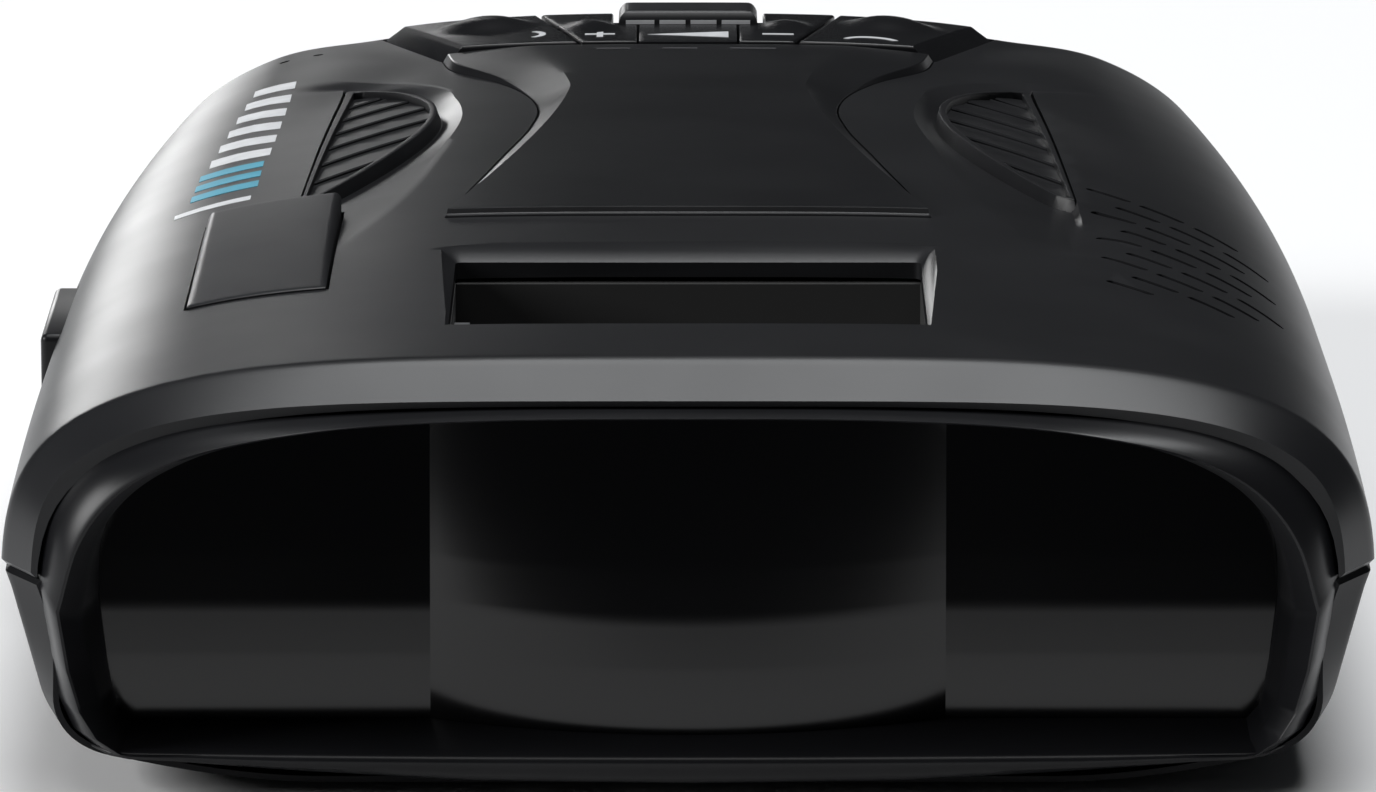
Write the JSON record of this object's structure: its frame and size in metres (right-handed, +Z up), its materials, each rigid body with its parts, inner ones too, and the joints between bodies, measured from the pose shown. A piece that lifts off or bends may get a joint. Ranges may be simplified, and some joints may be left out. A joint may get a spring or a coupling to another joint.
{
  "type": "radar detector",
  "caption": "Low windshield radar detector with a dark curved front window, top keypad, mount slot with release button, vents and a rear display.",
  "frame": {"origin": "centre of the bounding box's bottom face, on the surface that the detector stands on", "axes": "+Y from the front window to the driver's display end, +Z up through the keypad, +X to the right when looking at the display end's back, along +Y"},
  "size_m": [0.0896, 0.1416, 0.0282],
  "materials": {
    "shell_plastic": "fine moulded texture, matte",
    "trim_plastic": "satin moulded plastic",
    "window_plastic": "polished dark infrared-pass plastic",
    "display_lens_plastic": "polished smoked plastic",
    "inlay_plastic": "satin",
    "key_plastic": "satin with white symbols",
    "button_plastic": "satin",
    "grille_plastic": "satin",
    "inner_plastic": "as moulded",
    "silicone": "matte silicone",
    "board": "solder mask",
    "ribbon": "polyimide film",
    "switch_metal": "tinned",
    "steel": "zinc plated",
    "spring_steel": "bright wire",
    "cast_metal": "as cast",
    "display_module_plastic": "glass and black film",
    "laser_lens_plastic": "dark red acrylic",
    "speaker_card": "cone and frame",
    "label": "blank satin label"
  },
  "bodies": {
    "chassis": {"upper_housing": "shell_plastic", "lower_housing": "shell_plastic", "front_bezel": "trim_plastic", "front_window": "window_plastic", "rear_bezel": "trim_plastic", "display_lens": "display_lens_plastic", "display_module": "display_module_plastic", "display_ribbon": "ribbon", "top_inlay": "inlay_plastic", "vent_grille_left": "grille_plastic", "vent_grille_right": "grille_plastic", "key_carrier": "inner_plastic", "volume_plate": "key_plastic", "keypad_mat": "silicone", "key_board": "board", "tact_switches": "switch_metal", "mount_pocket": "inner_plastic", "release_spring": "spring_steel", "speaker_grille": "shell_plastic", "speaker": "speaker_card", "speaker_gasket": "silicone", "main_board": "board", "board_screws": "steel", "shield_can": "switch_metal", "horn_antenna": "cast_metal", "horn_launcher": "board", "laser_lens": "laser_lens_plastic", "laser_board": "board", "power_jack": "inner_plastic", "power_collar": "trim_plastic", "ear_jack": "inner_plastic", "usb_port": "switch_metal", "housing_screws": "steel", "screw_plugs": "silicone", "bottom_label": "label"},
    "left_menu_key": {"left_menu_button": "key_plastic"},
    "right_menu_key": {"right_menu_button": "key_plastic"},
    "volume_up_key": {"volume_up_button": "key_plastic"},
    "volume_down_key": {"volume_down_button": "key_plastic"},
    "mute_key": {"mute_button": "button_plastic"},
    "release_key": {"release_button": "button_plastic"},
    "latch": {"mount_latch": "steel"}
  },
  "joints": [
    {"name": "left_menu_press", "type": "slide", "parent": "chassis", "child": "left_menu_key", "axis": [0, 0, -1], "range_m": [0, 0.0006], "stiffness_N_per_m": 600, "springref_m": -0.0005},
    {"name": "right_menu_press", "type": "slide", "parent": "chassis", "child": "right_menu_key", "axis": [0, 0, -1], "range_m": [0, 0.0006], "stiffness_N_per_m": 600, "springref_m": -0.0005},
    {"name": "volume_up_press", "type": "slide", "parent": "chassis", "child": "volume_up_key", "axis": [0, 0, -1], "range_m": [0, 0.0006], "stiffness_N_per_m": 600, "springref_m": -0.0005},
    {"name": "volume_down_press", "type": "slide", "parent": "chassis", "child": "volume_down_key", "axis": [0, 0, -1], "range_m": [0, 0.0006], "stiffness_N_per_m": 600, "springref_m": -0.0005},
    {"name": "mute_press", "type": "slide", "parent": "chassis", "child": "mute_key", "axis": [0, 0, -1], "range_m": [0, 0.0006], "stiffness_N_per_m": 600, "springref_m": -0.0005},
    {"name": "release_press", "type": "slide", "parent": "chassis", "child": "release_key", "axis": [0, 0, -1], "range_m": [0, 0.0012], "stiffness_N_per_m": 600, "springref_m": -0.0008, "deforming": ["release_spring"]},
    {"name": "latch_slide", "type": "slide", "parent": "chassis", "child": "latch", "axis": [-1, 0, 0], "range_m": [0, 0.0012]}
  ],
  "couplings": [
    {"joint": "latch_slide", "follows": "release_press", "ratio": 1}
  ]
}
